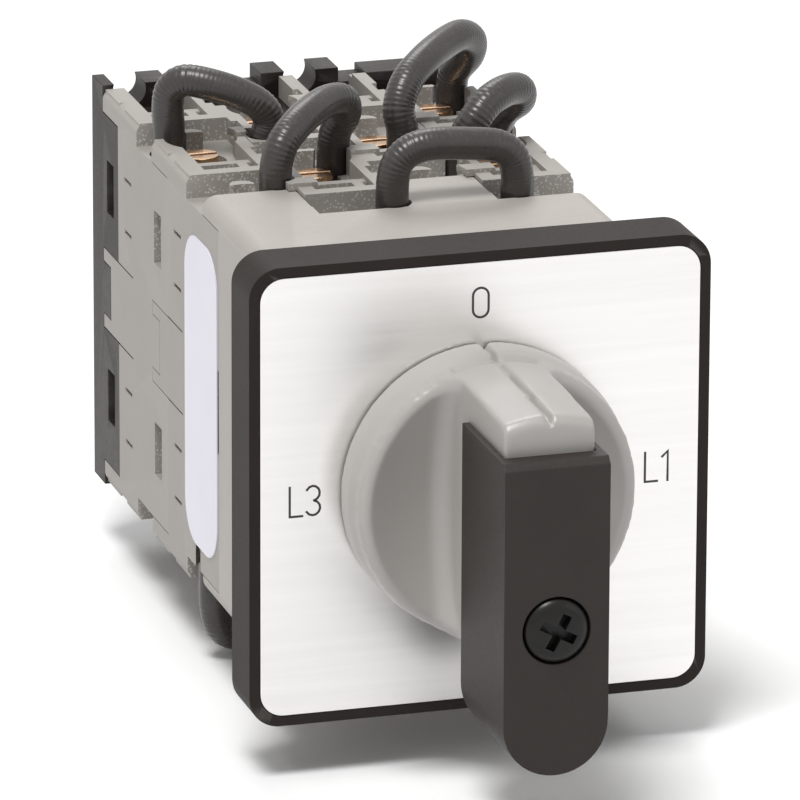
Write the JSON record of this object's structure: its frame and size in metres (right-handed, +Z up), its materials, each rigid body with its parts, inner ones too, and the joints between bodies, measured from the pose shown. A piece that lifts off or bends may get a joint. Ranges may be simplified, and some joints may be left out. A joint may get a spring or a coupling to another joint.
{
  "type": "rotary ammeter selector switch",
  "caption": "Panel-mounted rotary cam switch: square front plate, knob with lever grip, latch housing, stacked contact stages with jumper wires, rear cover.",
  "frame": {"origin": "where the shaft axis meets the plane of the bezel frame's rear ring, which seats on a panel", "axes": "+X right seen from the front, +Y into the depth along the shaft, +Z up"},
  "size_m": [0.045, 0.0983, 0.0564],
  "materials": {
    "bezel": "dark brown-black moulded plastic, fine satin grain",
    "silver_plate": "silver sheet with fine horizontal brushing and dark printed marks",
    "knob": "light grey moulded plastic, satin",
    "lever": "dark brown-black moulded plastic, satin",
    "dark_steel": "blackened steel",
    "housing": "warm grey glass-filled plastic",
    "stage": "light warm grey glass-filled plastic with sparkling fibres",
    "cover": "black-brown moulded plastic",
    "bush": "natural acetal",
    "zinc_steel": "zinc-plated steel",
    "spring_steel": "bright spring steel",
    "cam": "ivory moulded plastic",
    "carrier": "cream thermoset plastic",
    "copper": "copper-coloured plated brass",
    "wire": "dark grey PVC insulation, satin",
    "label": "plain pale label"
  },
  "bodies": {
    "base": {"bezel_frame": "bezel", "escutcheon_plate": "silver_plate", "front_housing": "housing", "front_bush": "bush", "detent_springs": "spring_steel", "stage_1_housing": "stage", "stage_2_housing": "stage", "stage_1_mid_plate": "stage", "stage_2_mid_plate": "stage", "rear_cover": "cover", "tie_screws": "zinc_steel", "tie_nuts": "zinc_steel", "top_spring_1": "spring_steel", "top_spring_2": "spring_steel", "top_spring_3": "spring_steel", "top_spring_4": "spring_steel", "bottom_spring_1": "spring_steel", "bottom_spring_2": "spring_steel", "bottom_spring_3": "spring_steel", "bottom_spring_4": "spring_steel", "top_terminals": "copper", "bottom_terminals": "copper", "top_washers": "zinc_steel", "bottom_washers": "zinc_steel", "top_screws": "copper", "bottom_screws": "copper", "jumper_1": "wire", "jumper_2": "wire", "jumper_3": "wire", "jumper_4": "wire", "jumper_5": "wire", "jumper_6": "wire", "side_label": "label"},
    "rotor": {"knob": "knob", "lever_grip": "lever", "lever_screw": "dark_steel", "shaft": "zinc_steel", "star_wheel": "zinc_steel", "shaft_ring": "spring_steel", "cam_1": "cam", "cam_2": "cam", "cam_3": "cam", "cam_4": "cam"},
    "top_carrier_1_body": {"top_carrier_1": "carrier", "top_bridge_1": "copper"},
    "top_carrier_2_body": {"top_carrier_2": "carrier", "top_bridge_2": "copper"},
    "top_carrier_3_body": {"top_carrier_3": "carrier", "top_bridge_3": "copper"},
    "top_carrier_4_body": {"top_carrier_4": "carrier", "top_bridge_4": "copper"},
    "bottom_carrier_1_body": {"bottom_carrier_1": "carrier", "bottom_bridge_1": "copper"},
    "bottom_carrier_2_body": {"bottom_carrier_2": "carrier", "bottom_bridge_2": "copper"},
    "bottom_carrier_3_body": {"bottom_carrier_3": "carrier", "bottom_bridge_3": "copper"},
    "bottom_carrier_4_body": {"bottom_carrier_4": "carrier", "bottom_bridge_4": "copper"}
  },
  "joints": [
    {"name": "knob_turn", "type": "hinge", "parent": "base", "child": "rotor", "pos_m": [0, 0, 0], "axis": [0, 1, 0], "continuous": true, "deforming": ["detent_springs"]},
    {"name": "top_carrier_1_slide", "type": "slide", "parent": "base", "child": "top_carrier_1_body", "axis": [0, 0, -1], "range_m": [0, 0.001], "deforming": ["top_spring_1"]},
    {"name": "top_carrier_2_slide", "type": "slide", "parent": "base", "child": "top_carrier_2_body", "axis": [0, 0, -1], "range_m": [0, 0.001], "deforming": ["top_spring_2"]},
    {"name": "top_carrier_3_slide", "type": "slide", "parent": "base", "child": "top_carrier_3_body", "axis": [0, 0, -1], "range_m": [0, 0.001], "deforming": ["top_spring_3"]},
    {"name": "top_carrier_4_slide", "type": "slide", "parent": "base", "child": "top_carrier_4_body", "axis": [0, 0, -1], "range_m": [0, 0.001], "deforming": ["top_spring_4"]},
    {"name": "bottom_carrier_1_slide", "type": "slide", "parent": "base", "child": "bottom_carrier_1_body", "axis": [0, 0, 1], "range_m": [0, 0.001], "deforming": ["bottom_spring_1"]},
    {"name": "bottom_carrier_2_slide", "type": "slide", "parent": "base", "child": "bottom_carrier_2_body", "axis": [0, 0, 1], "range_m": [0, 0.001], "deforming": ["bottom_spring_2"]},
    {"name": "bottom_carrier_3_slide", "type": "slide", "parent": "base", "child": "bottom_carrier_3_body", "axis": [0, 0, 1], "range_m": [0, 0.001], "deforming": ["bottom_spring_3"]},
    {"name": "bottom_carrier_4_slide", "type": "slide", "parent": "base", "child": "bottom_carrier_4_body", "axis": [0, 0, 1], "range_m": [0, 0.001], "deforming": ["bottom_spring_4"]}
  ]
}
